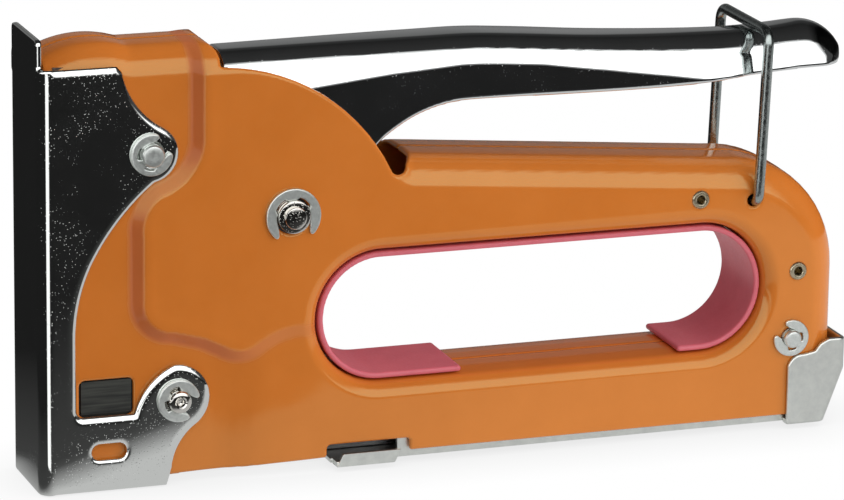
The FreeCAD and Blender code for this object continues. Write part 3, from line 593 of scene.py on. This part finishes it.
# ------------------------------------------------------------------------------ pins, clips, rivets
def pin_profile(radius, seat, end, kind):
    """A headed pin: its near end stepped, ringed or dimpled, with a crowned head on the far one."""
    groove = radius - 0.5
    near = {
        "stepped": [(0.02, -end), (0.55 * radius, -end), (0.59 * radius, -end + 0.06),
                    (0.61 * radius, -end + 0.18), (0.61 * radius, -end + 0.98), (0.86 * radius, -end + 1.0),
                    (0.90 * radius, -end + 1.06), (0.91 * radius, -end + 1.2)],
        "ringed": [(0.02, -end + 0.06), (0.40 * radius, -end), (0.74 * radius, -end),
                   (0.88 * radius, -end + 0.1), (radius, -end + 0.45)],
        "dimpled": [(0.02, -end + 0.75), (0.20 * radius, -end + 0.6), (0.30 * radius, -end + 0.3),
                    (0.42 * radius, -end + 0.26), (0.55 * radius, -end), (0.74 * radius, -end + 0.05),
                    (0.90 * radius, -end + 0.2), (radius, -end + 0.6)],
    }[kind]
    near += [(near[-1][0], -seat - 0.95), (groove, -seat - 0.9), (groove, -seat - 0.1),
             (radius, -seat - 0.05)]
    head = radius + 1.6
    far = [(radius, seat + 0.02), (head - 0.1, seat + 0.06), (head, seat + 0.25), (head, seat + 0.9),
           (head - 0.3, seat + 1.3), (head * 0.7, seat + 1.58), (head * 0.35, seat + 1.68),
           (0.02, seat + 1.7)]
    return near + far


for label, centre, radius, end, kind, look in (
        ("pivot_pin", PIVOT, PIVOT_PIN, PIVOT_END, "stepped", PIN_STEEL),
        ("upper_nose_pin", UPPER, NOSE_PIN, PIN_END, "ringed", CLIP_ZINC),
        ("lower_nose_pin", LOWER, NOSE_PIN, PIN_END, "dimpled", PIN_STEEL),
        ("rear_pin", REAR, REAR_PIN, PIN_END, "ringed", CLIP_ZINC)):
    pin = turned("turned_" + label, centre, pin_profile(radius, PIN_SEAT, end, kind))
    dress(pin, "housing", "zinc_plate", label, material=look)


def clip_solid(centre, radius, outer, band_in, opening):
    """A flat snap ring, open at its mouth, with two notches in the inner edge of its back."""
    def solid(x, y, z):
        u, w = x - centre[0], z - centre[1]
        r = np.hypot(u, w)
        a = radians(opening)
        along, across = u * cos(a) + w * sin(a), -u * sin(a) + w * cos(a)
        turn = np.degrees(np.arctan2(np.abs(across), -along))
        seat = radius - 0.45
        inner = seat + (band_in - seat) * step(turn, 12, 24) * (1 - step(turn, 62, 78))
        mouth = np.maximum(np.abs(across) - (radius - 0.5), -along)
        flat = both(np.maximum(r - outer, inner - r), -mouth, 1.1)
        return both(flat, np.abs(y + CLIP_MIDDLE) - CLIP_HALF_GAUGE, 0.2)
    return solid


for label, centre, radius, outer, band_in, opening in (
        ("pivot_clip", PIVOT, PIVOT_PIN, 6.2, 4.35, -86),
        ("upper_nose_clip", UPPER, NOSE_PIN, 4.6, 3.3, 35),
        ("lower_nose_clip", LOWER, NOSE_PIN, 4.7, 3.3, -25),
        ("rear_clip", REAR, REAR_PIN, 4.2, 2.8, 140)):
    low = (centre[0] - outer, -CLIP_MIDDLE - CLIP_HALF_GAUGE, centre[1] - outer)
    high = (centre[0] + outer, -CLIP_MIDDLE + CLIP_HALF_GAUGE, centre[1] + outer)
    clip = moulded("snap_" + label, clip_solid(centre, radius, outer, band_in, opening), low, high, 0.14)
    dress(clip, "housing", "zinc_plate", label, material=CLIP_ZINC)

for label, centre in (("top_rivet", TOP_RIVET), ("back_rivet", BACK_RIVET)):
    half_head = [(0.98, 11.4), (1.0, 12.45), (1.15, 12.62), (1.45, 12.7), (1.8, 12.62), (2.02, 12.42),
                 (2.1, 12.22), (1.5, 12.18)]
    profile = [(r, -y) for r, y in half_head] + [(r, y) for r, y in reversed(half_head)]
    tube = turned("rolled_" + label, centre, [(0.9, -7.0)] + profile + [(0.9, 7.0)])
    dress(tube, "housing", "zinc_plate", label, material=RIVET_ZINC)


# ------------------------------------------------------------------------------ wire bail
def bail_path():
    length = hypot(BAIL_BAR[0] - BAIL_FOOT[0], BAIL_BAR[1] - BAIL_FOOT[1])
    lean = atan2(BAIL_BAR[0] - BAIL_FOOT[0], BAIL_BAR[1] - BAIL_FOOT[1])
    half, foot, top = BAIL_HALF, 2.0, 3.0
    line = [(-BAIL_INNER, 0), (-half + foot, 0)]
    line += [(-half + foot + foot * cos(a), foot + foot * sin(a)) for a in np.linspace(-pi / 2, -pi, 9)[1:]]
    line += [(-half, h) for h in np.linspace(foot, length - top, 12)[1:]]
    line += [(-half + top + top * cos(a), length - top + top * sin(a))
             for a in np.linspace(pi, pi / 2, 11)[1:]]
    line += [(w, length) for w in np.linspace(-half + top, 0, 6)[1:]]
    line += [(-w, h) for w, h in reversed(line[:-1])]
    return [(BAIL_FOOT[0] + h * sin(lean), w, BAIL_FOOT[1] + h * cos(lean)) for w, h in line]


dress(swept("bail_wire", bail_path(), WIRE), "bail", "spring_steel", "wire_bail")


# ------------------------------------------------------------------------------ end cap
def cap_solid(x, y, z):
    wide = np.abs(y)
    side = inside(CAP_SIDE, x, z)
    outer = both(-side, wide - CAP_HALF, 1.5)
    sheet = np.maximum(outer, -(outer + CAP_SHEET))
    ears = np.maximum(sheet, 12.35 - wide)
    ears = both(ears, -inside(CAP_EAR, x, z), 0.3)
    plate = both(sheet, -inside(CAP_PLATE, x, z), 0.3)
    soles = np.maximum(np.abs(z - 1.5) - 0.5, np.abs(wide - 12.1) - 1.3)
    soles = np.maximum(soles, np.abs(x - 177.7) - 4.1)
    return np.minimum(np.minimum(ears, plate), soles)


cap = moulded("rear_cap", cap_solid, (173.6, -CAP_HALF, 1.0), (187.6, CAP_HALF, 20.4), 0.3)
dress(cap, "magazine", "zinc_plate", "magazine_end_cap")


# ------------------------------------------------------------------------------ carried-over CAD nodes
SLOTS = {row["node"]: row["material_slot"] for row in frame["record"]["subparts"]}
for label, node in nodes.items():
    node.data.materials.clear()
    node.data.materials.append(MATERIALS[SLOTS[label]])
weld = nodes["magazine_cover"].modifiers.new("weld", "WELD")
weld.merge_threshold = 0.00001
edge = nodes["magazine_cover"].modifiers.new("edge", "BEVEL")
edge.width, edge.segments, edge.limit_method, edge.angle_limit = 0.00022, 2, "ANGLE", radians(40)


# ------------------------------------------------------------------------------ studio
def studio():
    """Soft light from the front and right. The camera sees white; reflections see a white zone in front."""
    scene = bpy.context.scene
    scene.view_settings.view_transform = "Standard"
    world = bpy.data.worlds.new("studio")
    scene.world = world
    world.use_nodes = True
    n, l = world.node_tree.nodes, world.node_tree.links
    n.clear()
    out = n.new("ShaderNodeOutputWorld")
    place = n.new("ShaderNodeTexCoord")
    split = n.new("ShaderNodeSeparateXYZ")
    l.new(place.outputs["Generated"], split.inputs[0])
    around = maths(n, l, "ARCTAN2", split.outputs["Z"], maths(n, l, "MULTIPLY", split.outputs["Y"], -1.0))

    def scaled(value, low, high):
        node = n.new("ShaderNodeMapRange")
        node.inputs["From Min"].default_value, node.inputs["From Max"].default_value = low, high
        l.new(value, node.inputs["Value"])
        return node.outputs["Result"]

    def at(degrees):
        return (degrees + 10) / 200

    glossy = ramp(n, l, scaled(around, radians(-10), radians(190)), [
        (at(-3), 0.02), (at(2), 0.3), (at(5), 1.7), (at(54), 1.7), (at(64), 0.03), (at(120), 0.015),
        (at(150), 0.04), (at(170), 0.20), (at(186), 0.08)])
    fore = ramp(n, l, scaled(split.outputs["Y"], -1, 1), [(0.0, 1.55), (0.5, 1.1), (1.0, 0.33)])
    across = ramp(n, l, scaled(split.outputs["X"], -1, 1),
                  [(0.0, 0.05), (0.3, 0.32), (0.5, 0.98), (1.0, 1.4)])
    over = ramp(n, l, scaled(split.outputs["Z"], -1, 1), [(0.5, 1.0), (0.75, 1.0), (1.0, 0.8)])
    soft = maths(n, l, "MULTIPLY", maths(n, l, "MULTIPLY", fore.outputs["Color"], across.outputs["Color"]),
                 over.outputs["Color"])
    aside = ramp(n, l, scaled(split.outputs["X"], -1, 1), [(0.0, 1.0), (0.77, 1.0), (0.86, 0.03)])
    mirrored = maths(n, l, "MULTIPLY", glossy.outputs["Color"], aside.outputs["Color"])
    ray = n.new("ShaderNodeLightPath")
    lights = []
    for colour in (soft, mirrored):
        light = n.new("ShaderNodeBackground")
        l.new(colour, light.inputs["Color"])
        lights.append(light)
    white = n.new("ShaderNodeBackground")
    white.inputs["Color"].default_value = (1, 1, 1, 1)
    first, second = n.new("ShaderNodeMixShader"), n.new("ShaderNodeMixShader")
    l.new(ray.outputs["Is Glossy Ray"], first.inputs[0])
    l.new(lights[0].outputs[0], first.inputs[1])
    l.new(lights[1].outputs[0], first.inputs[2])
    l.new(ray.outputs["Is Camera Ray"], second.inputs[0])
    l.new(first.outputs[0], second.inputs[1])
    l.new(white.outputs[0], second.inputs[2])
    l.new(second.outputs[0], out.inputs["Surface"])


def floor():
    """A pale floor that glows instead of being lit: the camera sees white with a painted contact shadow from
    ambient occlusion, reflections see a painted pool of light round the object and a painted bright strip in
    front and to the left, and matt surfaces see a painted glow that grows brighter towards +X.
    """
    bpy.ops.mesh.primitive_plane_add(size=6, location=(0, 0, -0.0002))
    plane = bpy.context.object
    plane.name = "floor"
    material = bpy.data.materials.new("floor")
    material.use_nodes = True
    n, l = material.node_tree.nodes, material.node_tree.links
    n.clear()
    out = n.new("ShaderNodeOutputMaterial")
    place = n.new("ShaderNodeTexCoord")
    split = n.new("ShaderNodeSeparateXYZ")
    l.new(place.outputs["Object"], split.inputs[0])

    def calc(kind, a, b=0.0):
        return maths(n, l, kind, a, b)

    across = calc("MAXIMUM", calc("SUBTRACT", calc("ABSOLUTE", split.outputs["X"]), 0.09), 0)
    away = calc("MAXIMUM", calc("SUBTRACT", calc("ABSOLUTE", split.outputs["Y"]), 0.012), 0)
    distance = calc("SQRT", calc("ADD", calc("MULTIPLY", across, across), calc("MULTIPLY", away, away)))
    rearward = calc("MULTIPLY", calc("ADD", split.outputs["X"], 0.081), 0.76)
    # Painted pool of light round the object, seen only in reflections.
    painted_light_pool = ramp(n, l, calc("SUBTRACT", distance, rearward), [(0.009, 0.56), (0.024, 0.05), (0.12, 0.012)])
    # Painted bright strip in front of and to the left of the object, which the bend of the chrome nose
    # reflects as a light line.
    out_front = calc("MAXIMUM", calc("SUBTRACT", -0.012, split.outputs["Y"]), 0.001)
    slant = calc("DIVIDE", calc("SUBTRACT", -0.092, split.outputs["X"]), out_front)
    strip = ramp(n, l, slant, [(0.12, 0.0), (0.18, 1.0), (0.75, 1.0), (0.85, 0.0)])
    strip = calc("MULTIPLY", strip.outputs["Color"], calc("LESS_THAN", split.outputs["Y"], -0.03))
    glossy = calc("ADD", painted_light_pool.outputs["Color"], calc("MULTIPLY", strip, 1.15))
    # Painted contact shadow: ambient occlusion darkens the white that the camera sees near the object.
    near = n.new("ShaderNodeAmbientOcclusion")
    near.inputs["Distance"].default_value = 0.02
    shade = ramp(n, l, near.outputs["AO"], [(0.0, 0.80), (1.0, 1.0)])
    ray = n.new("ShaderNodeLightPath")
    lights = []
    # Painted glow that lights matt surfaces, brighter towards +X.
    glow = ramp(n, l, calc("ADD", split.outputs["X"], 0.5),
                [(0.1, 0.1), (0.4, 0.35), (0.52, 0.85), (0.7, 1.0)])
    for colour in (glow.outputs["Color"], glossy, shade.outputs["Color"]):
        light = n.new("ShaderNodeEmission")
        l.new(colour, light.inputs["Color"])
        lights.append(light)
    first, second = n.new("ShaderNodeMixShader"), n.new("ShaderNodeMixShader")
    l.new(ray.outputs["Is Glossy Ray"], first.inputs[0])
    l.new(lights[0].outputs[0], first.inputs[1])
    l.new(lights[1].outputs[0], first.inputs[2])
    l.new(ray.outputs["Is Camera Ray"], second.inputs[0])
    l.new(first.outputs[0], second.inputs[1])
    l.new(lights[2].outputs[0], second.inputs[2])
    l.new(second.outputs[0], out.inputs["Surface"])
    plane.data.materials.append(material)


def camera():
    azimuth, elevation, roll = radians(19.515), radians(15.358), radians(0.751)
    forward = Vector((sin(azimuth) * cos(elevation), cos(azimuth) * cos(elevation), -sin(elevation)))
    right = Vector((cos(azimuth), -sin(azimuth), 0))
    up = right.cross(forward)
    r = cos(roll) * right + sin(roll) * up
    u = -sin(roll) * right + cos(roll) * up
    eye = Vector((-0.36166, -1.00960, 0.33916))
    turn = Matrix((r, u, -forward)).transposed().to_4x4()
    data = bpy.data.cameras.new("camera")
    data.sensor_width, data.lens = SENSOR, SENSOR * FOCAL_PIXELS / PHOTO_WIDTH
    data.clip_start, data.clip_end = 0.05, 20
    item = bpy.data.objects.new("camera", data)
    bpy.context.scene.collection.objects.link(item)
    item.matrix_world = Matrix.Translation(eye) @ turn
    bpy.context.scene.camera = item


studio()
floor()
camera()
